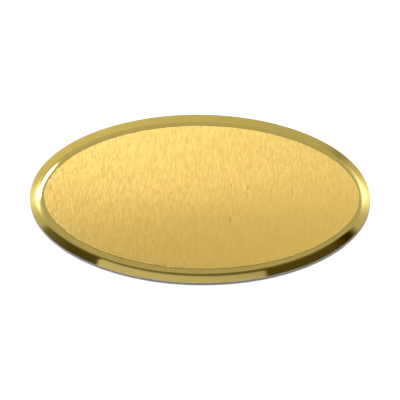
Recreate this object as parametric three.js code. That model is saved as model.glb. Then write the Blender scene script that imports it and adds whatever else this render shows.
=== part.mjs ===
// An oval name badge, lying on its back.
//
// It is a pressed metal frame with a bent-down, bevelled skirt, a thin brushed name plate glued on
// the frame's flat face, and a magnet bar glued under it, which grips through cloth.
// Units are millimetres. +Z is up and out of the badge's face, X runs along its length, and the
// origin is the middle of the magnet bar's lower face, on which the badge lies.

import * as THREE from 'three';

// Outline of the badge: an oval of 3 by 1 1/2 inches.
const HALF_LENGTH = 38.1;
const HALF_WIDTH = 19.05;
const STEPS_ROUND = 160; // facets round every oval

// The frame's sheet, and the section of its rim.
const SHEET = 0.8; // thickness of the pressed sheet
const SKIRT_TILT = THREE.MathUtils.degToRad(38); // slope of the bevelled skirt
const SKIRT_RUN = 1.2; // width of the bevel, seen from above
const BEND_RADIUS = 3.2; // outer radius of the bend between face and skirt
const EDGE_RADIUS = 0.2; // rounding where the bevel meets the trimmed edge
const EDGE_HEIGHT = 0.5; // upright trimmed edge of the skirt
const BEND_STEPS = 8;
const EDGE_STEPS = 3;

// The name plate. It was glued on a little to the right of the middle.
const PLATE_THICKNESS = 0.5;
const PLATE_INSET = 2.95; // from the badge's outline to the plate's, all round
const PLATE_BEVEL = 0.16; // bevel along the sheared upper edge
const PLATE_SHIFT = 0.4;

// The magnet bar.
const MAGNET_LENGTH = 45;
const MAGNET_WIDTH = 13;
const MAGNET_THICKNESS = 2;
const MAGNET_CORNER = 2.5;
const MAGNET_BEVEL = 0.4;
const MAGNET_BEVEL_STEPS = 3;
const MAGNET_CORNER_STEPS = 6;

// Film of adhesive above and below the frame, left free.
const GLUE_GAP = 0.1;

// Heights that follow from the sizes above.
const FACE_UNDERSIDE = MAGNET_THICKNESS + GLUE_GAP;
const FACE_TOP = FACE_UNDERSIDE + SHEET;
const PLATE_UNDERSIDE = FACE_TOP + GLUE_GAP;

const polished = new THREE.MeshStandardMaterial({ color: '#c9ad5c', roughness: 0.08, metalness: 1 });
const brushed = new THREE.MeshStandardMaterial({ color: '#f0cf7a', roughness: 0.35, metalness: 1 });
const casing = new THREE.MeshStandardMaterial({ color: '#26272a', roughness: 0.6, metalness: 0 });

// A point of the badge's outline moved straight in by inset, so that every band keeps an even width.
function ovalPoint(turn, inset) {
  const x = HALF_LENGTH * Math.cos(turn);
  const y = HALF_WIDTH * Math.sin(turn);
  const normal = new THREE.Vector2(x / HALF_LENGTH ** 2, y / HALF_WIDTH ** 2).normalize();
  return new THREE.Vector2(x, y).addScaledVector(normal, -inset);
}

// A closed solid lofted through oval rings. Each row of sections gives a ring's inset and height,
// from the middle of the upper face, over the edge, to the middle of the lower face. Both ends of
// the row are closed by a flat fan.
function ovalSolid(sections, material, name) {
  const positions = [];
  for (const { inset, height } of sections) {
    for (let step = 0; step < STEPS_ROUND; step += 1) {
      const { x, y } = ovalPoint((2 * Math.PI * step) / STEPS_ROUND, inset);
      positions.push(x, y, height);
    }
  }
  const topMiddle = positions.length / 3;
  const bottomMiddle = topMiddle + 1;
  const lastRing = (sections.length - 1) * STEPS_ROUND;
  positions.push(0, 0, sections[0].height, 0, 0, sections.at(-1).height);

  const index = [];
  for (let step = 0; step < STEPS_ROUND; step += 1) {
    const next = (step + 1) % STEPS_ROUND;
    index.push(topMiddle, step, next);
    index.push(bottomMiddle, lastRing + next, lastRing + step);
    for (let ring = 0; ring < lastRing; ring += STEPS_ROUND) {
      const below = ring + STEPS_ROUND;
      index.push(ring + step, below + step, below + next);
      index.push(ring + step, below + next, ring + next);
    }
  }
  const geometry = new THREE.BufferGeometry();
  geometry.setAttribute('position', new THREE.Float32BufferAttribute(positions, 3));
  geometry.setIndex(index);
  geometry.computeVertexNormals();
  const mesh = new THREE.Mesh(geometry, material);
  mesh.name = name;
  return mesh;
}

// Points of an arc in the rim's section, from one tilt of its outward normal to another.
function sectionArc(centre, radius, fromTilt, toTilt, steps) {
  const points = [];
  for (let step = 0; step <= steps; step += 1) {
    const tilt = fromTilt + ((toTilt - fromTilt) * step) / steps;
    points.push({
      inset: centre.inset - radius * Math.sin(tilt),
      height: centre.height + radius * Math.cos(tilt),
    });
  }
  return points;
}

// The frame is one pressed sheet: a flat face, a bend, a bevelled skirt trimmed upright, and a
// narrow foot. Behind it is hollow.
function makeFrame() {
  const bendCentre = {
    inset: SKIRT_RUN + BEND_RADIUS * Math.sin(SKIRT_TILT),
    height: FACE_TOP - BEND_RADIUS,
  };
  // Height of the bevel's plane where it reaches the outline, and of the foot.
  const bevelFoot =
    bendCentre.height + BEND_RADIUS * Math.cos(SKIRT_TILT) - SKIRT_RUN * Math.tan(SKIRT_TILT);
  const foot = bevelFoot - EDGE_HEIGHT;
  // The rounding touches both the bevel and the upright edge.
  const edgeCentre = {
    inset: EDGE_RADIUS,
    height: bevelFoot + EDGE_RADIUS * Math.tan(SKIRT_TILT) - EDGE_RADIUS / Math.cos(SKIRT_TILT),
  };
  // The foot ends where it meets the skirt's inner side.
  const skirtUpright = SHEET / Math.cos(SKIRT_TILT);
  const footWidth = (skirtUpright - EDGE_HEIGHT) / Math.tan(SKIRT_TILT);

  const sections = [
    ...sectionArc(bendCentre, BEND_RADIUS, 0, SKIRT_TILT, BEND_STEPS),
    ...sectionArc(edgeCentre, EDGE_RADIUS, SKIRT_TILT, Math.PI / 2, EDGE_STEPS),
    { inset: 0, height: foot },
    { inset: footWidth, height: foot },
    ...sectionArc(bendCentre, BEND_RADIUS - SHEET, SKIRT_TILT, 0, BEND_STEPS),
  ];
  return ovalSolid(sections, polished, 'frame');
}

// The name plate has a bevelled upper edge, an upright side and a flat back.
function makeNamePlate() {
  const top = PLATE_UNDERSIDE + PLATE_THICKNESS;
  const sections = [
    { inset: PLATE_INSET + PLATE_BEVEL, height: top },
    { inset: PLATE_INSET, height: top - PLATE_BEVEL },
    { inset: PLATE_INSET, height: PLATE_UNDERSIDE },
  ];
  const plate = ovalSolid(sections, brushed, 'name_plate');
  plate.position.x = PLATE_SHIFT;
  return plate;
}

// The magnet bar is a plain bar with round corners and softened edges.
function makeMagnetBar() {
  const x = MAGNET_LENGTH / 2 - MAGNET_BEVEL - MAGNET_CORNER;
  const y = MAGNET_WIDTH / 2 - MAGNET_BEVEL - MAGNET_CORNER;
  const outline = new THREE.Shape();
  outline.absarc(x, y, MAGNET_CORNER, 0, Math.PI / 2, false);
  outline.absarc(-x, y, MAGNET_CORNER, Math.PI / 2, Math.PI, false);
  outline.absarc(-x, -y, MAGNET_CORNER, Math.PI, (3 * Math.PI) / 2, false);
  outline.absarc(x, -y, MAGNET_CORNER, (3 * Math.PI) / 2, 2 * Math.PI, false);
  const geometry = new THREE.ExtrudeGeometry(outline, {
    depth: MAGNET_THICKNESS - 2 * MAGNET_BEVEL,
    curveSegments: MAGNET_CORNER_STEPS,
    bevelThickness: MAGNET_BEVEL,
    bevelSize: MAGNET_BEVEL,
    bevelSegments: MAGNET_BEVEL_STEPS,
  });
  const bar = new THREE.Mesh(geometry, casing);
  bar.name = 'magnet_bar';
  bar.position.z = MAGNET_BEVEL;
  return bar;
}

const badge = new THREE.Group();
badge.add(makeFrame(), makeNamePlate(), makeMagnetBar());

export default badge;
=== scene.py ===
import math

import bmesh
import bpy
import numpy as np
from bpy.props import FloatProperty, FloatVectorProperty, PointerProperty
from mathutils import Matrix, Quaternion, Vector


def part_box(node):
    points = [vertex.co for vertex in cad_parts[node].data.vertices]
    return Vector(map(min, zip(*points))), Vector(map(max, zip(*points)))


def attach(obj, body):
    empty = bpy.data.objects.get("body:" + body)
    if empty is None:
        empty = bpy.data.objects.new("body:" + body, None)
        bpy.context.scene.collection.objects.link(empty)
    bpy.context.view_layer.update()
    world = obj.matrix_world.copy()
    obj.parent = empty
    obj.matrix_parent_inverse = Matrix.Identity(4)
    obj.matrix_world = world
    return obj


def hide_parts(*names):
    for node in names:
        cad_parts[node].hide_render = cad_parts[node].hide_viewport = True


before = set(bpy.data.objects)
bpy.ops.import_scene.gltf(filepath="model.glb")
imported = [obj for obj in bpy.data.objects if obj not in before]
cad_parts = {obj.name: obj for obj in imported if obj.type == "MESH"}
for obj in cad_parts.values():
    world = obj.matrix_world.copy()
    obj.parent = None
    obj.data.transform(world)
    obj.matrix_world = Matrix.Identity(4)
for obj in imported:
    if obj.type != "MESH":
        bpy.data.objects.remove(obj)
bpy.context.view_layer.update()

bl_info = {
    "name": "Oval Name Badge",
    "version": (1, 0, 0),
    "blender": (4, 5, 0),
    "location": "3D Viewport > Sidebar > Name Badge",
    "description": "Makes a gold-coloured oval name badge and the studio it lies in",
    "category": "Add Mesh",
}

MM = 0.001
DEGREE = math.radians(1)
FULL_TURN = 360.0

# Boxes of the badge's three bodies, on which the pieces here are built.
FRAME_LOW, FRAME_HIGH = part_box("frame")
PLATE_LOW, PLATE_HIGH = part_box("name_plate")
BAR_LOW, BAR_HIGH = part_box("magnet_bar")

# Facets round each oval, and rings in each rounding.
FRAME_STEPS = 600
PLATE_STEPS = 1400
BEND_STEPS = 20
EDGE_STEPS = 8
SMALL_ROUND_STEPS = 4
BAR_CORNER_STEPS = 12
BAR_BEVEL_STEPS = 6
ROUND_PROFILE = 0.5
SHARP_ANGLE = 30 * DEGREE
MERGE_DISTANCE = 0.001 * MM
# A ring on each flat face, this far from the rounding beside it, keeps the face's shading flat.
FLAT_RING = 0.02 * MM
# Faces that lean further than this from level are cut edges.
FRAME_CUT_TILT = 48 * DEGREE
PLATE_CUT_TILT = 75 * DEGREE

# Noise mostly lies between these two values.
NOISE_SPAN = (0.3, 0.7)

# Polished plating: where smudges show, least and most roughness, and heights in millimetres.
SMUDGE_SPAN = (0.35, 0.75)
POLISHED_ROUGHNESS = (0.03, 0.06)
SMUDGE_SHADE = 0.97
WAVE_HEIGHT = 0.01
HAZE_HEIGHT = 0.00003

# Grooves of the brushed plate: slope across the badge, and least and most roughness, of each flank.
LONG_FLANK = (-0.4, 0.155, 0.167)
SHORT_FLANK = (0.193, 0.102, 0.112)
# The short flank's share of the surface, and how far that share varies.
SHORT_FLANK_SHARE = 0.166
SHARE_SPREAD = 0.25
# Cycles of the brushing to a millimetre, where its grain shows, and its height in millimetres.
STREAK_SCALE = (4.2, 0.9, 1.0)
SCORE_SCALE = (8.0, 0.6, 1.0)
GRAIN_SPAN = (0.38, 0.62)
GRAIN_HEIGHT = 0.003
# The plate's texture space lies this far off, so that its gloss runs straight along the badge.
GRAIN_DISTANCE = 10.0

# Marks on the plate and on the frame: middle, half size in millimetres, and strength.
PLATE_MARKS = (
    ((6.8, -5.1), (0.13, 0.55), 0.6),
    ((20.6, 1.35), (0.13, 0.6), 0.5),
    ((10.7, 2.2), (0.16, 0.18), 0.8),
    ((6.9, 2.6), (0.12, 0.3), 0.4),
    ((-33.4, 1.9), (0.15, 0.8), 0.35),
    ((-9.7, -15.4), (0.45, 0.12), 0.8),
    ((-17.3, -14.1), (0.25, 0.1), 0.8),
)
PLATE_MARK_SHADE = 0.25
FRAME_MARKS = (
    ((5.1, 16.7), (0.06, 0.35), 0.7),
    ((32.6, -7.9), (0.07, 0.5), 0.5),
)
# Where a burr stands up from the plate's lower edge, its half size and its height.
BURR_PLACE = (-6.9, -15.55)
BURR_SIZE = (0.3, 0.13)
BURR_HEIGHT = 0.02

# Cut edges: cycles of the tears to a millimetre, their height, and the painted shade that darkens the low
# parts of the tears.
TEAR_SCALE = (7.0, 7.0, 1.5)
TEAR_HEIGHT = 0.02
TEAR_PAINTED_SHADE = 0.8
CLEAN_EDGE_ROUGHNESS = 0.34
DIRTY_EDGE_ROUGHNESS = 0.7

# Magnet casing: the moulded grain, and the shades and roughness of plain and of rubbed plastic.
CASING_GRAIN_HEIGHT = 0.03
CASING_GRAIN_STRENGTH = 0.6
CASING_SHADES = (0.9, 1.6)
CASING_SHADE_SPAN = (0.35, 0.75)
CASING_ROUGHNESS = (0.62, 0.45)
CASING_ROUGHNESS_SPAN = (0.3, 0.8)

# The floor is a wide disc.
FLOOR_RADIUS = 4.0
FLOOR_STEPS = 96
FLOOR_ROUGHNESS = 0.9
FIBRE_SHADE = 0.995

# The camera's sensor in millimetres, what it can see in metres, and how far the picture's middle
# lies to the right of and above the middle of the frame's face.
SENSOR_WIDTH = 36.0
CLIP_START = 0.01
CLIP_END = 20.0
PICTURE_SHIFT = (0.033 * MM, -0.58 * MM, 0.0)

# The surroundings that the badge reflects. Sides are degrees round the badge from its lower edge,
# positive to the right, and rises are degrees over the horizon. A pair holds the middle and the
# width of a bell, or the ends of a ramp. A third value is the softness of a band's ends.
WALL_LIGHT = 0.44
CEILING_DIM = 0.06
CEILING_DIM_SIDE = 55.0
CEILING_RISE = (36.0, 95.0)
SEAM_DIM = 0.16
SEAM_SIDE = (146.0, 5.0)
SEAM_RISE = (14.0, 32.0)
LOW_WALL_LIGHT = 0.2
LEFT_WALL_SIDE = (-100.0, 25.0)
RIGHT_WALL_SIDE = (100.0, 25.0)
LOW_WALL_RISE = (15.0, 35.0)

LEFT_LAMP_LIGHT = 2.4
LEFT_LAMP_SIDE = (-98.0, 16.5)
LEFT_LAMP_RISE = (33.5, 17.0)
RIGHT_LAMP_LIGHT = 1.9
RIGHT_LAMP_SIDE = (109.0, 18.5)
RIGHT_LAMP_RISE = (22.5, 16.0)
RIGHT_LAMP_FOOT = (-4.0, 12.0)
LAMP_TINT = (1.0, 1.05, 1.7)

# The wide lamp overhead. Its straight near edge is a slope back from upright, and that edge is
# sharp up to the first slope sideways and soft from the second on.
OVERHEAD_LIGHT = 6.0
OVERHEAD_SIDE = (-140.0, -60.0, 5.7)
OVERHEAD_RISE = (46.0, 67.0, 4.0)
NEAR_EDGE_SLOPE = 0.1512
NEAR_EDGE_SIDEWAYS = (0.35, 0.7)
NEAR_EDGE_SOFTNESS = (0.002, 0.12)
OVERHEAD_TINT = (1.0, 1.0, 1.75)

# The warm glow of the lamps on the far left wall.
GLOW_SIDE = -150.0
GLOW_WIDTH = 40.0
LOW_GLOW = 0.15
LOW_GLOW_RISE = (26.0, 38.0)
HIGH_GLOW = 0.05
HIGH_GLOW_RISE = (40.0, 85.0)
GLOW_TINT = (1.0, 0.89, 0.7)

# The dark room behind the camera, whose outline lies between an oval and a rectangle.
ROOM_HALF_WIDTH = 58.6
ROOM_HEIGHT = 50.5
ROOM_SQUARENESS = 4.0
ROOM_EDGE = (0.68, 1.32)
ROOM_TONE = (0.074, 0.065, 0.022)
ROOM_LEFT_LIGHT = 0.08
ROOM_LEFT_SIDE = (-57.0, -35.0)
ROOM_CORNER_DIM = 0.045
ROOM_CORNER_SIDE = (50.0, 6.0)
ROOM_TOP_LIGHT = 0.07
ROOM_TOP_RISE = (30.0, 44.0)

# The pale card that stands in that room. Its top slopes down to the right.
CARD_LIGHT = 0.512
CARD_DIM_PER_DEGREE = 0.002
CARD_TINT = (1.0, 1.0, 1.17)
CARD_SIDE = (-25.3, 15.0, 0.8)
CARD_TOP_SLOPE = 0.26
CARD_RISE = (17.5, 42.5)

# Light of the surroundings on matte surfaces, and of the backdrop that the camera sees.
MATTE_LIGHT = (0.3, 0.3, 0.3)
BACKDROP_LIGHT = (0.95, 0.95, 0.95)


class BadgeSizes(bpy.types.PropertyGroup):
    """Sizes of the badge's pieces that its outer sizes leave open."""

    sheet: FloatProperty(
        name="Sheet",
        description="Thickness of the frame's pressed sheet",
        default=0.8 * MM,
        unit="LENGTH",
    )
    skirt_tilt: FloatProperty(
        name="Skirt Tilt",
        description="Slope of the bevelled skirt",
        default=38 * DEGREE,
        subtype="ANGLE",
    )
    skirt_run: FloatProperty(
        name="Skirt Run",
        description="Width of the bevelled skirt, seen from above",
        default=1.2 * MM,
        unit="LENGTH",
    )
    bend_radius: FloatProperty(
        name="Bend Radius",
        description="Outer radius of the bend between the face and the skirt",
        default=3.2 * MM,
        unit="LENGTH",
    )
    edge_radius: FloatProperty(
        name="Edge Radius",
        description="Rounding between the skirt and its trimmed edge",
        default=0.07 * MM,
        unit="LENGTH",
    )
    trim_radius: FloatProperty(
        name="Trim Radius",
        description="Rounding of the foot of the trimmed edge",
        default=0.05 * MM,
        unit="LENGTH",
    )
    plate_rollover: FloatProperty(
        name="Plate Rollover",
        description="Rounding that shearing left along the name plate's upper edge",
        default=0.04 * MM,
        unit="LENGTH",
    )
    bar_corner: FloatProperty(
        name="Bar Corner",
        description="Radius of the magnet bar's corners, seen from below",
        default=2.5 * MM,
        unit="LENGTH",
    )
    bar_bevel: FloatProperty(
        name="Bar Bevel",
        description="Rounding of the magnet bar's edges",
        default=0.4 * MM,
        unit="LENGTH",
    )


class BadgeFinishes(bpy.types.PropertyGroup):
    """Colours of the badge's finishes."""

    polished: FloatVectorProperty(
        name="Polished Gold",
        description="Colour of the frame's polished plating",
        subtype="COLOR",
        size=3,
        default=(0.95, 0.735, 0.19),
    )
    scratch: FloatVectorProperty(
        name="Scratches",
        description="Colour of the scratches in the frame's plating",
        subtype="COLOR",
        size=3,
        default=(1.0, 0.95, 0.8),
    )
    brushed: FloatVectorProperty(
        name="Brushed Gold",
        description="Colour of the name plate's brushed face",
        subtype="COLOR",
        size=3,
        default=(0.815, 0.565, 0.114),
    )
    # Painted shade: the grooves' darker colour stands for the shade in their bottoms, on top of the
    # grain's random tone.
    brushed_groove_painted_shade: FloatVectorProperty(
        name="Brushed Groove",
        description="Colour of the grooves in the name plate's brushed face",
        subtype="COLOR",
        size=3,
        default=(0.78, 0.515, 0.096),
    )
    # Partly painted shade: the dull bare metal is darkened so that the edge reads as the grey shadow line
    # along the outline.
    trimmed_edge_and_shade: FloatVectorProperty(
        name="Trimmed Edge",
        description="Colour of the frame's trimmed edge, where dull bare metal shows",
        subtype="COLOR",
        size=3,
        default=(0.5, 0.47, 0.4),
    )
    # Painted shade: the sheared side and back are near black to stand in for the dark shadow gap along the
    # plate's lower edge.
    sheared_edge_painted_shade: FloatVectorProperty(
        name="Sheared Edge",
        description="Colour of the name plate's sheared side, which is dark with dirt",
        subtype="COLOR",
        size=3,
        default=(0.05, 0.04, 0.02),
    )
    casing: FloatVectorProperty(
        name="Magnet Casing",
        description="Colour of the magnet bar",
        subtype="COLOR",
        size=3,
        default=(0.02, 0.02, 0.022),
    )


class StudioSettings(bpy.types.PropertyGroup):
    """Camera, floor and lights."""

    camera_distance: FloatProperty(
        name="Camera Distance",
        description="From the lens to the badge",
        default=0.55,
        unit="LENGTH",
    )
    camera_elevation: FloatProperty(
        name="Camera Elevation",
        description="Height of the view above the horizon, from the badge's lower edge",
        default=82 * DEGREE,
        subtype="ANGLE",
    )
    camera_roll: FloatProperty(
        name="Camera Roll",
        description="Turn of the badge in the picture, clockwise",
        default=0.5 * DEGREE,
        subtype="ANGLE",
    )
    picture_width: FloatProperty(
        name="Picture Width",
        description="Width that the picture takes in at the badge",
        default=89.3 * MM,
        unit="LENGTH",
    )
    floor_colour: FloatVectorProperty(
        name="Floor",
        description="Colour of the floor",
        subtype="COLOR",
        size=3,
        default=(0.9, 0.9, 0.9),
    )
    key_power: FloatProperty(
        name="Key Power",
        description="Power of the soft light that casts the badge's shadow",
        default=11.0,
        unit="POWER",
    )
    key_size: FloatProperty(
        name="Key Size",
        description="Length of that light's sides",
        default=0.14,
        unit="LENGTH",
    )
    key_place: FloatVectorProperty(
        name="Key Place",
        description="Where that light stands",
        subtype="XYZ",
        unit="LENGTH",
        size=3,
        default=(-0.05, 0.3, 1.0),
    )


class Value:
    """One output of a node. Arithmetic on it adds Math nodes to the same tree."""

    def __init__(self, graph, socket):
        self.graph = graph
        self.socket = socket

    def __getitem__(self, name):
        """Another output of the same node."""
        return Value(self.graph, self.socket.node.outputs[name])

    def math(self, operation, *values):
        """A Math node on these values."""
        return self.graph.add("ShaderNodeMath", {"operation": operation}, dict(enumerate(values)))

    def __add__(self, other):
        return self.math("ADD", self, other)

    def __radd__(self, other):
        return self.math("ADD", other, self)

    def __sub__(self, other):
        return self.math("SUBTRACT", self, other)

    def __rsub__(self, other):
        return self.math("SUBTRACT", other, self)

    def __mul__(self, other):
        return self.math("MULTIPLY", self, other)

    def __rmul__(self, other):
        return self.math("MULTIPLY", other, self)

    def __truediv__(self, other):
        return self.math("DIVIDE", self, other)

    def __rtruediv__(self, other):
        return self.math("DIVIDE", other, self)

    def __mod__(self, other):
        return self.math("MODULO", self, other)

    def __rmod__(self, other):
        return self.math("MODULO", other, self)

    def __neg__(self):
        return self.math("MULTIPLY", self, -1.0)

    def ramp(self, low, high, from_value=0.0, to_value=1.0):
        """A smooth change from one value to another as this one goes from low to high."""
        return self.graph.add(
            "ShaderNodeMapRange",
            {"interpolation_type": "SMOOTHSTEP"},
            {"Value": self, "From Min": low, "From Max": high, "To Min": from_value, "To Max": to_value},
        )

    def fade(self, low, high):
        """A smooth change from 1 to 0 as this value goes from low to high."""
        return self.ramp(low, high, 1.0, 0.0)

    def band(self, low, high, soft):
        """1 between low and high and 0 outside, with soft ends."""
        return self.ramp(low - soft, low + soft) * self.fade(high - soft, high + soft)

    def bell(self, centre, width):
        """A bell of this value round a centre, which is 1 there."""
        offset = (self - centre) / width
        return self.math("POWER", math.e, -(offset * offset))


class Graph:
    """Adds nodes to one tree and links them."""

    def __init__(self, tree):
        self.tree = tree

    def add(self, kind, settings=None, inputs=None, output=0):
        """A node of a kind, with its settings and inputs, as the value of one of its outputs."""
        node = self.tree.nodes.new(kind)
        for name, setting in (settings or {}).items():
            setattr(node, name, setting)
        for name, value in (inputs or {}).items():
            if isinstance(value, Value):
                self.tree.links.new(value.socket, node.inputs[name])
            else:
                node.inputs[name].default_value = value
        return Value(self, node.outputs[output]) if node.outputs else None

    def vector(self, x, y, z):
        """A vector, or a colour, of three values."""
        return self.add("ShaderNodeCombineXYZ", None, {"X": x, "Y": y, "Z": z})

    def parts(self, vector):
        """The three parts of a vector."""
        x = self.add("ShaderNodeSeparateXYZ", None, {"Vector": vector})
        return x, x["Y"], x["Z"]

    def mix(self, factor, first, second):
        """A colour between two colours, which are the Mix node's inputs 6 and 7 and output 2."""
        inputs = {"Factor": factor, 6: first, 7: second}
        return self.add("ShaderNodeMix", {"data_type": "RGBA"}, inputs, output=2)

    def mix_shaders(self, factor, first, second):
        """A shader between two shaders."""
        return self.add("ShaderNodeMixShader", None, {0: factor, 1: first, 2: second})

    def noise(self, place, scale, detail):
        """Smooth noise about 0.5, with scale cycles to a unit of place along each axis."""
        stretched = self.add("ShaderNodeMapping", None, {"Vector": place, "Scale": scale})
        inputs = {"Vector": stretched, "Scale": 1.0, "Detail": detail}
        return self.add("ShaderNodeTexNoise", None, inputs)

    def bump(self, height, strength=1.0):
        """The normal of a surface with this height, in millimetres, on it."""
        inputs = {"Strength": strength, "Distance": MM, "Height": height}
        return self.add("ShaderNodeBump", None, inputs)

    def principled(self, inputs):
        """A Principled shader with these inputs."""
        return self.add("ShaderNodeBsdfPrincipled", None, inputs)


def new_material(name):
    """An empty material's graph, and the coordinates of the piece that wears it, in millimetres."""
    material = bpy.data.materials.new(name)
    material.use_nodes = True
    material.node_tree.nodes.clear()
    graph = Graph(material.node_tree)
    place = graph.add("ShaderNodeTexCoord", output="Object")
    return material, graph, graph.add("ShaderNodeMapping", None, {"Vector": place, "Scale": (1 / MM,) * 3})


def ended(material, graph, shader):
    """The material, once its graph ends in this shader."""
    graph.add("ShaderNodeOutputMaterial", None, {"Surface": shader})
    return material


def colour(values):
    """A colour with the opacity that a colour socket wants."""
    return (*values, 1.0)


def shade(values, factor):
    """A colour made lighter or darker."""
    return colour([min(1.0, value * factor) for value in values])


def spot(graph, place, centre, size):
    """A soft spot on a piece seen from above, which is 1 in its middle."""
    x, y, _ = graph.parts(place)
    return x.bell(centre[0], size[0]) * y.bell(centre[1], size[1])


def marked(graph, place, tone, marks, mark_colour):
    """The tone with marks on it, each one soft at its ends."""
    for centre, size, strength in marks:
        tone = graph.mix(spot(graph, place, centre, size) * strength, tone, mark_colour)
    return tone


def polished_gold(finishes):
    """Bright gold plating on a pressed and polished sheet."""
    material, graph, place = new_material("polished_gold")
    smudges = graph.noise(place, scale=(0.25, 0.25, 0.25), detail=3.0)
    waves = graph.noise(place, scale=(0.12, 0.12, 0.12), detail=1.0)
    haze = graph.noise(place, scale=(6.0, 6.0, 6.0), detail=2.0)
    smudged = shade(finishes.polished, SMUDGE_SHADE)
    tone = graph.mix(smudges.ramp(*NOISE_SPAN), smudged, colour(finishes.polished))
    shader = graph.principled(
        {
            "Base Color": marked(graph, place, tone, FRAME_MARKS, colour(finishes.scratch)),
            "Metallic": 1.0,
            "Roughness": smudges.ramp(*SMUDGE_SPAN, *POLISHED_ROUGHNESS),
            "Normal": graph.bump(waves * WAVE_HEIGHT + haze * HAZE_HEIGHT),
        }
    )
    return ended(material, graph, shader)


def brushed_gold(finishes):
    """Gold-coloured sheet brushed across the badge, in grooves with a long and a short flank.

    Both flanks gloss along the badge, as the plate's texture space sets it.
    """
    material, graph, place = new_material("brushed_gold")
    streaks = graph.noise(place, STREAK_SCALE, detail=2.0)
    scores = graph.noise(place, SCORE_SCALE, detail=3.0)
    grain = (streaks + scores) / 2
    # Low grain takes the darker groove colour: painted shade in the groove bottoms, on top of tone that
    # differs at random.
    tone = graph.mix(grain.ramp(*GRAIN_SPAN), colour(finishes.brushed_groove_painted_shade), colour(finishes.brushed))
    tone = marked(graph, place, tone, PLATE_MARKS, shade(finishes.brushed, PLATE_MARK_SHADE))
    burr = spot(graph, place, BURR_PLACE, BURR_SIZE)
    across, _, _ = graph.parts(place)
    flanks = [
        graph.principled(
            {
                "Base Color": tone,
                "Metallic": 1.0,
                "Roughness": scores.ramp(*NOISE_SPAN, smoothest, roughest),
                "Anisotropic": 1.0,
                "Normal": graph.bump(across * slope + grain * GRAIN_HEIGHT - burr * BURR_HEIGHT),
            }
        )
        for slope, smoothest, roughest in (LONG_FLANK, SHORT_FLANK)
    ]
    shares = (SHORT_FLANK_SHARE * (1 - SHARE_SPREAD), SHORT_FLANK_SHARE * (1 + SHARE_SPREAD))
    return ended(material, graph, graph.mix_shaders(streaks.ramp(*NOISE_SPAN, *shares), *flanks))


def trimmed_edge_and_shade(finishes):
    """Dull bare metal of the frame's trimmed edge, torn a little by the cut. Its colour is darkened partly
    as painted shade, so the edge reads as the grey shadow line along the outline, and the tears' low parts
    are darker still as painted shade.
    """
    material, graph, place = new_material("trimmed_edge_and_shade")
    tears = graph.noise(place, TEAR_SCALE, detail=3.0)
    hollow_painted_shade = shade(finishes.trimmed_edge_and_shade, TEAR_PAINTED_SHADE)
    shader = graph.principled(
        {
            "Base Color": graph.mix(tears.ramp(*NOISE_SPAN), hollow_painted_shade, colour(finishes.trimmed_edge_and_shade)),
            "Metallic": 1.0,
            "Roughness": CLEAN_EDGE_ROUGHNESS,
            "Normal": graph.bump(tears * TEAR_HEIGHT),
        }
    )
    return ended(material, graph, shader)


def sheared_edge_painted_shade(finishes):
    """Painted shade without gloss on the name plate's sheared side and back: near black, standing in for
    the dark shadow gap along the plate's lower edge.
    """
    material, graph, place = new_material("sheared_edge_painted_shade")
    tears = graph.noise(place, TEAR_SCALE, detail=3.0)
    shader = graph.principled(
        {
            "Base Color": colour(finishes.sheared_edge_painted_shade),
            "Roughness": DIRTY_EDGE_ROUGHNESS,
            "Specular IOR Level": 0.0,
            "Normal": graph.bump(tears * TEAR_HEIGHT),
        }
    )
    return ended(material, graph, shader)


def magnet_casing(finishes):
    """Matte black plastic with a fine moulded grain."""
    material, graph, place = new_material("magnet_casing")
    grain = graph.noise(place, scale=(5.0, 5.0, 5.0), detail=3.0)
    rubs = graph.noise(place, scale=(0.4, 1.2, 0.4), detail=2.0)
    plain, rubbed = (shade(finishes.casing, factor) for factor in CASING_SHADES)
    shader = graph.principled(
        {
            "Base Color": graph.mix(rubs.ramp(*CASING_SHADE_SPAN), plain, rubbed),
            "Roughness": rubs.ramp(*CASING_ROUGHNESS_SPAN, *CASING_ROUGHNESS),
            "Normal": graph.bump(grain * CASING_GRAIN_HEIGHT, CASING_GRAIN_STRENGTH),
        }
    )
    return ended(material, graph, shader)


def floor_paper(studio):
    """Pale matte paper."""
    material, graph, place = new_material("floor_paper")
    fibres = graph.noise(place, scale=(0.8, 0.8, 0.8), detail=4.0)
    dull = shade(studio.floor_colour, FIBRE_SHADE)
    shader = graph.principled(
        {
            "Base Color": graph.mix(fibres.ramp(*NOISE_SPAN), dull, colour(studio.floor_colour)),
            "Roughness": FLOOR_ROUGHNESS,
        }
    )
    return ended(material, graph, shader)


def arc(centre, radius, from_tilt, to_tilt, steps):
    """Points of a rim section's arc, as (inset, height), between two tilts of its outward normal."""
    inset, height = centre
    return [
        (inset - radius * math.sin(tilt), height + radius * math.cos(tilt))
        for tilt in np.linspace(from_tilt, to_tilt, steps + 1)
    ]


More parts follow.
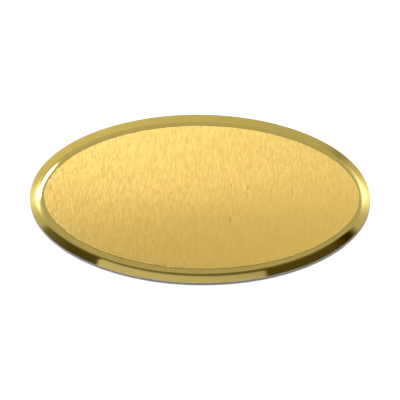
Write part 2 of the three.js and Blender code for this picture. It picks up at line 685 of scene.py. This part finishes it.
def frame_section(sizes):
    """Section of the frame's rim, from its upper face over the skirt to its hollow back."""
    top = FRAME_HIGH.z
    foot = FRAME_LOW.z
    tilt = sizes.skirt_tilt
    bend = (sizes.skirt_run + sizes.bend_radius * math.sin(tilt), top - sizes.bend_radius)
    skirt_foot = bend[1] + sizes.bend_radius * math.cos(tilt) - sizes.skirt_run * math.tan(tilt)
    edge_drop = sizes.edge_radius * (1 / math.cos(tilt) - math.tan(tilt))
    edge = (sizes.edge_radius, skirt_foot - edge_drop)
    trim = (sizes.trim_radius, foot + sizes.trim_radius)
    foot_width = (sizes.sheet / math.cos(tilt) - (skirt_foot - foot)) / math.tan(tilt)
    return [
        (bend[0] + FLAT_RING, top),
        *arc(bend, sizes.bend_radius, 0, tilt, BEND_STEPS),
        *arc(edge, sizes.edge_radius, tilt, math.pi / 2, EDGE_STEPS),
        *arc(trim, sizes.trim_radius, math.pi / 2, math.pi, SMALL_ROUND_STEPS),
        (foot_width, foot),
        *arc(bend, sizes.bend_radius - sizes.sheet, tilt, 0, EDGE_STEPS),
        (bend[0] + FLAT_RING, top - sizes.sheet),
    ]


def plate_section(sizes, inset):
    """Section of the name plate's edge, from its face to its back."""
    radius = sizes.plate_rollover
    shoulder = (inset + radius, PLATE_HIGH.z - radius)
    return [
        (shoulder[0] + FLAT_RING, PLATE_HIGH.z),
        *arc(shoulder, radius, 0, math.pi / 2, EDGE_STEPS),
        (inset, PLATE_LOW.z),
    ]


def section_curve(name, points):
    """A curve whose points hold inset, height and reach. Reach is 0 where a face ends in its middle."""
    rows = [(0.0, points[0][1], 0.0)]
    rows += [(inset, height, 1.0) for inset, height in points]
    rows += [(0.0, points[-1][1], 0.0)]
    data = bpy.data.curves.new(name, "CURVE")
    data.dimensions = "3D"
    spline = data.splines.new("POLY")
    spline.points.add(len(rows) - 1)
    for point, row in zip(spline.points, rows):
        point.co = (*row, 1.0)
    curve = bpy.data.objects.new(name, data)
    bpy.context.scene.collection.objects.link(curve)
    return curve


def oval_tree():
    """A tree that carries a rim section round an oval at even insets, and closes both faces."""
    tree = bpy.data.node_groups.new("Oval Body", "GeometryNodeTree")
    for name, kind in (
        ("Section", "NodeSocketObject"),
        ("Half Length", "NodeSocketFloat"),
        ("Half Width", "NodeSocketFloat"),
        ("Steps Round", "NodeSocketInt"),
        ("Shift", "NodeSocketVector"),
        ("Sharp Angle", "NodeSocketFloat"),
        ("Material", "NodeSocketMaterial"),
    ):
        tree.interface.new_socket(name, in_out="INPUT", socket_type=kind)
    tree.interface.new_socket("Geometry", in_out="OUTPUT", socket_type="NodeSocketGeometry")
    graph = Graph(tree)
    given = graph.add("NodeGroupInput")

    # A grid with one row of points for each step round the oval.
    section = graph.add("GeometryNodeObjectInfo", None, {"Object": given["Section"]}, output="Geometry")
    rows = graph.add(
        "GeometryNodeAttributeDomainSize",
        {"component": "CURVE"},
        {"Geometry": section},
        output="Point Count",
    )
    steps = given["Steps Round"]
    grid = graph.add(
        "GeometryNodeMeshGrid", None, {"Vertices X": steps + 1, "Vertices Y": rows}, output="Mesh"
    )
    index = graph.add("GeometryNodeInputIndex")
    row = index % rows
    turn = index.math("FLOOR", index / rows) / steps * (2 * math.pi)

    # Each point goes in from the oval's outline, square to it, by the section's inset.
    point = graph.add(
        "GeometryNodeSampleIndex",
        {"data_type": "FLOAT_VECTOR", "domain": "POINT"},
        {"Geometry": section, "Value": graph.add("GeometryNodeInputPosition"), "Index": row},
    )
    inset, height, reach = graph.parts(point)
    cosine = turn.math("COSINE", turn)
    sine = turn.math("SINE", turn)
    normal = graph.add(
        "ShaderNodeVectorMath",
        {"operation": "NORMALIZE"},
        {0: graph.vector(cosine * given["Half Width"], sine * given["Half Length"], 0.0)},
    )
    across, along, _ = graph.parts(normal)
    shift_x, shift_y, shift_z = graph.parts(given["Shift"])
    place = graph.vector(
        (cosine * given["Half Length"] - across * inset) * reach + shift_x,
        (sine * given["Half Width"] - along * inset) * reach + shift_y,
        height + shift_z,
    )
    body = graph.add("GeometryNodeSetPosition", None, {"Geometry": grid, "Position": place})

    # The seam and both middles are closed, and the creases stay sharp.
    body = graph.add(
        "GeometryNodeMergeByDistance", None, {"Geometry": body, "Distance": MERGE_DISTANCE}
    )
    body = graph.add("GeometryNodeFlipFaces", None, {"Mesh": body})
    body = graph.add("GeometryNodeSetShadeSmooth", {"domain": "FACE"}, {"Geometry": body})
    fold = graph.add("GeometryNodeInputMeshEdgeAngle", output="Unsigned Angle")
    body = graph.add(
        "GeometryNodeSetShadeSmooth",
        {"domain": "EDGE"},
        {
            "Geometry": body,
            "Selection": fold.math("GREATER_THAN", fold, given["Sharp Angle"]),
            "Shade Smooth": False,
        },
    )
    body = graph.add("GeometryNodeRealizeInstances", None, {"Geometry": body})
    body = graph.add(
        "GeometryNodeSetMaterial", None, {"Geometry": body, "Material": given["Material"]}
    )
    graph.add("NodeGroupOutput", None, {"Geometry": body})
    return tree


def oval_piece(name, points, steps, shift, material):
    """A plain mesh object made by the oval tree from a section, inside the badge's outline."""
    tree = bpy.data.node_groups.get("Oval Body") or oval_tree()
    section = section_curve(name + "_section", points)
    source = bpy.data.objects.new(name + "_source", bpy.data.meshes.new(name + "_source"))
    bpy.context.scene.collection.objects.link(source)
    modifier = source.modifiers.new("Oval Body", "NODES")
    modifier.node_group = tree
    values = {
        "Section": section,
        "Half Length": FRAME_HIGH.x,
        "Half Width": FRAME_HIGH.y,
        "Steps Round": steps,
        "Shift": shift,
        "Sharp Angle": SHARP_ANGLE,
        "Material": material,
    }
    for socket in tree.interface.items_tree:
        if socket.in_out == "INPUT":
            modifier[socket.identifier] = values[socket.name]
    graph = bpy.context.evaluated_depsgraph_get()
    mesh = bpy.data.meshes.new_from_object(source.evaluated_get(graph))
    mesh.name = name
    # The tree leaves an empty material slot in front of the material's own.
    mesh.materials.pop(index=0)
    piece = bpy.data.objects.new(name, mesh)
    bpy.context.scene.collection.objects.link(piece)
    for helper in (source, section):
        bpy.data.objects.remove(helper)
    if not mesh.polygons:
        raise RuntimeError(f"{name} came out empty")
    return piece


def settle(piece, node):
    """Puts a finished piece in the badge in place of a plain body."""
    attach(piece, "root")
    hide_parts(node)


class BADGE_OT_frame(bpy.types.Operator):
    """Make the pressed and polished frame"""

    bl_idname = "badge.make_frame"
    bl_label = "Frame"

    def execute(self, context):
        finishes = context.scene.badge_finishes
        piece = oval_piece(
            "polished_frame",
            frame_section(context.scene.badge_sizes),
            FRAME_STEPS,
            (0.0, 0.0, 0.0),
            polished_gold(finishes),
        )
        # The trimmed edge wears the dull bare metal that is partly painted shade.
        piece.data.materials.append(trimmed_edge_and_shade(finishes))
        for face in piece.data.polygons:
            if abs(face.normal.z) < math.cos(FRAME_CUT_TILT):
                face.material_index = 1
        settle(piece, "frame")
        return {"FINISHED"}


class BADGE_OT_name_plate(bpy.types.Operator):
    """Make the brushed name plate with its sheared edge"""

    bl_idname = "badge.make_name_plate"
    bl_label = "Name Plate"

    def execute(self, context):
        finishes = context.scene.badge_finishes
        middle = (PLATE_LOW + PLATE_HIGH) / 2
        inset = FRAME_HIGH.x - (PLATE_HIGH.x - PLATE_LOW.x) / 2
        piece = oval_piece(
            "brushed_name_plate",
            plate_section(context.scene.badge_sizes, inset),
            PLATE_STEPS,
            (middle.x, middle.y, 0.0),
            brushed_gold(finishes),
        )
        piece.data.use_auto_texspace = False
        piece.data.texspace_location = (0.0, -GRAIN_DISTANCE, 0.0)
        piece.data.texspace_size = (1.0, 1.0, 1.0)
        # The sheared side and back wear the near-black painted shade.
        piece.data.materials.append(sheared_edge_painted_shade(finishes))
        # The back points down, and so counts as cut too.
        for face in piece.data.polygons:
            if face.normal.z < math.cos(PLATE_CUT_TILT):
                face.material_index = 1
        settle(piece, "name_plate")
        return {"FINISHED"}


class BADGE_OT_magnet_bar(bpy.types.Operator):
    """Make the magnet bar under the frame"""

    bl_idname = "badge.make_magnet_bar"
    bl_label = "Magnet Bar"

    def execute(self, context):
        sizes = context.scene.badge_sizes
        radius = sizes.bar_corner
        outline = []
        for quarter, (side_x, side_y) in enumerate(((1, 1), (-1, 1), (-1, -1), (1, -1))):
            for step in range(BAR_CORNER_STEPS + 1):
                turn = math.pi / 2 * (quarter + step / BAR_CORNER_STEPS)
                x = side_x * (BAR_HIGH.x - radius) + radius * math.cos(turn)
                y = side_y * (BAR_HIGH.y - radius) + radius * math.sin(turn)
                outline.append((x, y, BAR_LOW.z))
        shape = bmesh.new()
        base = shape.faces.new([shape.verts.new(point) for point in outline])
        extruded = bmesh.ops.extrude_face_region(shape, geom=[base])["geom"]
        upper = [part for part in extruded if isinstance(part, bmesh.types.BMVert)]
        bmesh.ops.translate(shape, vec=Vector((0, 0, BAR_HIGH.z - BAR_LOW.z)), verts=upper)
        bmesh.ops.recalc_face_normals(shape, faces=shape.faces)
        bmesh.ops.bevel(
            shape,
            geom=[edge for edge in shape.edges if edge.calc_face_angle() > SHARP_ANGLE],
            offset=sizes.bar_bevel,
            segments=BAR_BEVEL_STEPS,
            profile=ROUND_PROFILE,
            affect="EDGES",
        )
        for face in shape.faces:
            face.smooth = True
        mesh = bpy.data.meshes.new("magnet_casing_bar")
        shape.to_mesh(mesh)
        shape.free()
        mesh.materials.append(magnet_casing(context.scene.badge_finishes))
        piece = bpy.data.objects.new("magnet_casing_bar", mesh)
        context.scene.collection.objects.link(piece)
        settle(piece, "magnet_bar")
        return {"FINISHED"}


def studio_walls(graph, direction, side, rise):
    """Light of the plain walls and ceiling and of the lamps in front of them."""
    x, y, z = graph.parts(direction)
    # The ceiling is darker over the camera's side, and the far right wall has an upright seam.
    over_camera = side.math("COSINE", (side - CEILING_DIM_SIDE) * DEGREE).ramp(-1.0, 1.0)
    light = WALL_LIGHT - CEILING_DIM * over_camera * rise.ramp(*CEILING_RISE)
    light = light - SEAM_DIM * side.bell(*SEAM_SIDE) * rise.fade(*SEAM_RISE)
    low_walls = side.bell(*LEFT_WALL_SIDE) + side.bell(*RIGHT_WALL_SIDE)
    light = light + LOW_WALL_LIGHT * low_walls * rise.fade(*LOW_WALL_RISE)
    # A lamp stands on either side, and a wide one hangs overhead.
    lamps = LEFT_LAMP_LIGHT * side.bell(*LEFT_LAMP_SIDE) * rise.bell(*LEFT_LAMP_RISE)
    right_lamp = RIGHT_LAMP_LIGHT * side.bell(*RIGHT_LAMP_SIDE) * rise.bell(*RIGHT_LAMP_RISE)
    lamps = lamps + right_lamp * rise.ramp(*RIGHT_LAMP_FOOT)
    sideways = x.math("ABSOLUTE", x / z)
    softness = sideways.ramp(*NEAR_EDGE_SIDEWAYS, *NEAR_EDGE_SOFTNESS)
    behind_edge = ((y / z - NEAR_EDGE_SLOPE) / softness).ramp(-1.0, 1.0)
    overhead = OVERHEAD_LIGHT * behind_edge * side.band(*OVERHEAD_SIDE) * rise.band(*OVERHEAD_RISE)
    # The glow's side is measured from its middle, because it reaches past the far side.
    off_glow = (side - GLOW_SIDE + 1.5 * FULL_TURN) % FULL_TURN - FULL_TURN / 2
    heights = LOW_GLOW * rise.fade(*LOW_GLOW_RISE) + HIGH_GLOW * rise.fade(*HIGH_GLOW_RISE)
    glow = off_glow.bell(0.0, GLOW_WIDTH) * heights
    return graph.vector(
        *(
            light + lamps * lamp_tint + overhead * overhead_tint + glow * glow_tint
            for lamp_tint, overhead_tint, glow_tint in zip(LAMP_TINT, OVERHEAD_TINT, GLOW_TINT)
        )
    )


def dark_room(graph, side, rise):
    """Where the dark room behind the camera shows, and its light."""
    reach = side.math("POWER", side.math("ABSOLUTE", side / ROOM_HALF_WIDTH), ROOM_SQUARENESS)
    reach = reach + rise.math("POWER", rise.math("ABSOLUTE", rise / ROOM_HEIGHT), ROOM_SQUARENESS)
    gloom = ROOM_LEFT_LIGHT * side.fade(*ROOM_LEFT_SIDE) - ROOM_CORNER_DIM * side.bell(*ROOM_CORNER_SIDE)
    gloom = gloom + ROOM_TOP_LIGHT * rise.ramp(*ROOM_TOP_RISE)
    return reach.fade(*ROOM_EDGE), graph.vector(*(gloom + tone for tone in ROOM_TONE))


def pale_card(graph, side, rise):
    """Where the pale card in the dark room shows, and its light."""
    shown = side.band(*CARD_SIDE) * (rise + CARD_TOP_SLOPE * side).fade(*CARD_RISE)
    paper = CARD_LIGHT - CARD_DIM_PER_DEGREE * side
    return shown, graph.vector(*(paper * tint for tint in CARD_TINT))


def background(graph, light):
    """Surroundings with this light."""
    return graph.add("ShaderNodeBackground", None, {"Color": light})


def studio_world():
    """Surroundings of a photo studio, seen by what the badge reflects."""
    world = bpy.data.worlds.new("studio")
    world.use_nodes = True
    world.node_tree.nodes.clear()
    graph = Graph(world.node_tree)
    direction = graph.add("ShaderNodeTexCoord", output="Generated")
    x, y, z = graph.parts(direction)
    side = x.math("ARCTAN2", x, -y) / DEGREE
    rise = z.math("ARCSINE", z) / DEGREE
    light = studio_walls(graph, direction, side, rise)
    for shown, nearer_light in (dark_room(graph, side, rise), pale_card(graph, side, rise)):
        light = graph.mix(shown, light, nearer_light)

    path = graph.add("ShaderNodeLightPath", output="Is Camera Ray")
    matte = background(graph, colour(MATTE_LIGHT))
    backdrop = background(graph, colour(BACKDROP_LIGHT))
    lit = graph.mix_shaders(path["Is Diffuse Ray"], background(graph, light), matte)
    graph.add("ShaderNodeOutputWorld", None, {"Surface": graph.mix_shaders(path, lit, backdrop)})
    return world


def facing(back, up):
    """The turn of a camera or light that looks away from back, with its top towards up."""
    back = back.normalized()
    right = up.cross(back).normalized()
    return Matrix((right, back.cross(right), back)).transposed().to_quaternion()


def add_floor(studio):
    """The floor on which the badge lies."""
    shape = bmesh.new()
    bmesh.ops.create_circle(shape, cap_ends=True, segments=FLOOR_STEPS, radius=FLOOR_RADIUS)
    mesh = bpy.data.meshes.new("floor")
    shape.to_mesh(mesh)
    shape.free()
    mesh.materials.append(floor_paper(studio))
    floor = bpy.data.objects.new("floor", mesh)
    bpy.context.scene.collection.objects.link(floor)


def add_key_light(studio, aim):
    """A soft light that casts the badge's shadow, and isn't reflected or seen itself."""
    data = bpy.data.lights.new("key", "AREA")
    data.size = studio.key_size
    data.energy = studio.key_power
    light = bpy.data.objects.new("key", data)
    light.location = studio.key_place
    light.rotation_mode = "QUATERNION"
    light.rotation_quaternion = facing(Vector(studio.key_place) - aim, Vector((0, 1, 0)))
    light.visible_camera = False
    light.visible_glossy = False
    bpy.context.scene.collection.objects.link(light)


def add_camera(studio, aim):
    """The camera that took the photograph."""
    data = bpy.data.cameras.new("camera")
    data.sensor_width = SENSOR_WIDTH
    data.lens = SENSOR_WIDTH * studio.camera_distance / studio.picture_width
    data.clip_start = CLIP_START
    data.clip_end = CLIP_END
    elevation = studio.camera_elevation
    back = Vector((0.0, -math.cos(elevation), math.sin(elevation)))
    top = Vector((0.0, math.sin(elevation), math.cos(elevation)))
    turn = facing(back, top) @ Quaternion((0, 0, 1), studio.camera_roll)
    camera = bpy.data.objects.new("camera", data)
    camera.location = aim + turn @ Vector(PICTURE_SHIFT) + back * studio.camera_distance
    camera.rotation_mode = "QUATERNION"
    camera.rotation_quaternion = turn
    bpy.context.scene.collection.objects.link(camera)
    bpy.context.scene.camera = camera


class BADGE_OT_studio(bpy.types.Operator):
    """Make the floor, the light, the surroundings and the camera"""

    bl_idname = "badge.make_studio"
    bl_label = "Studio"

    def execute(self, context):
        studio = context.scene.badge_studio
        middle = Vector((0.0, 0.0, FRAME_HIGH.z))
        add_floor(studio)
        add_key_light(studio, middle)
        add_camera(studio, middle)
        context.scene.world = studio_world()
        context.scene.view_settings.view_transform = "Standard"
        return {"FINISHED"}


class BADGE_PT_sidebar(bpy.types.Panel):
    """The badge's sizes, finishes and pieces"""

    bl_idname = "BADGE_PT_sidebar"
    bl_label = "Name Badge"
    bl_space_type = "VIEW_3D"
    bl_region_type = "UI"
    bl_category = "Name Badge"

    def draw(self, context):
        for group in (
            context.scene.badge_sizes,
            context.scene.badge_finishes,
            context.scene.badge_studio,
        ):
            box = self.layout.box()
            for name in group.__annotations__:
                box.prop(group, name)
        for operator in OPERATORS:
            self.layout.operator(operator.bl_idname)


OPERATORS = (BADGE_OT_frame, BADGE_OT_name_plate, BADGE_OT_magnet_bar, BADGE_OT_studio)
CLASSES = (BadgeSizes, BadgeFinishes, StudioSettings, *OPERATORS, BADGE_PT_sidebar)


def register():
    """Adds the badge's settings, operators and panel to Blender."""
    for kind in CLASSES:
        bpy.utils.register_class(kind)
    bpy.types.Scene.badge_sizes = PointerProperty(type=BadgeSizes)
    bpy.types.Scene.badge_finishes = PointerProperty(type=BadgeFinishes)
    bpy.types.Scene.badge_studio = PointerProperty(type=StudioSettings)


def unregister():
    """Takes them away again."""
    del bpy.types.Scene.badge_studio
    del bpy.types.Scene.badge_finishes
    del bpy.types.Scene.badge_sizes
    for kind in reversed(CLASSES):
        bpy.utils.unregister_class(kind)


def main():
    """Makes the badge and its studio."""
    register()
    bpy.ops.badge.make_frame()
    bpy.ops.badge.make_name_plate()
    bpy.ops.badge.make_magnet_bar()
    bpy.ops.badge.make_studio()


if __name__ == "__main__":
    main()
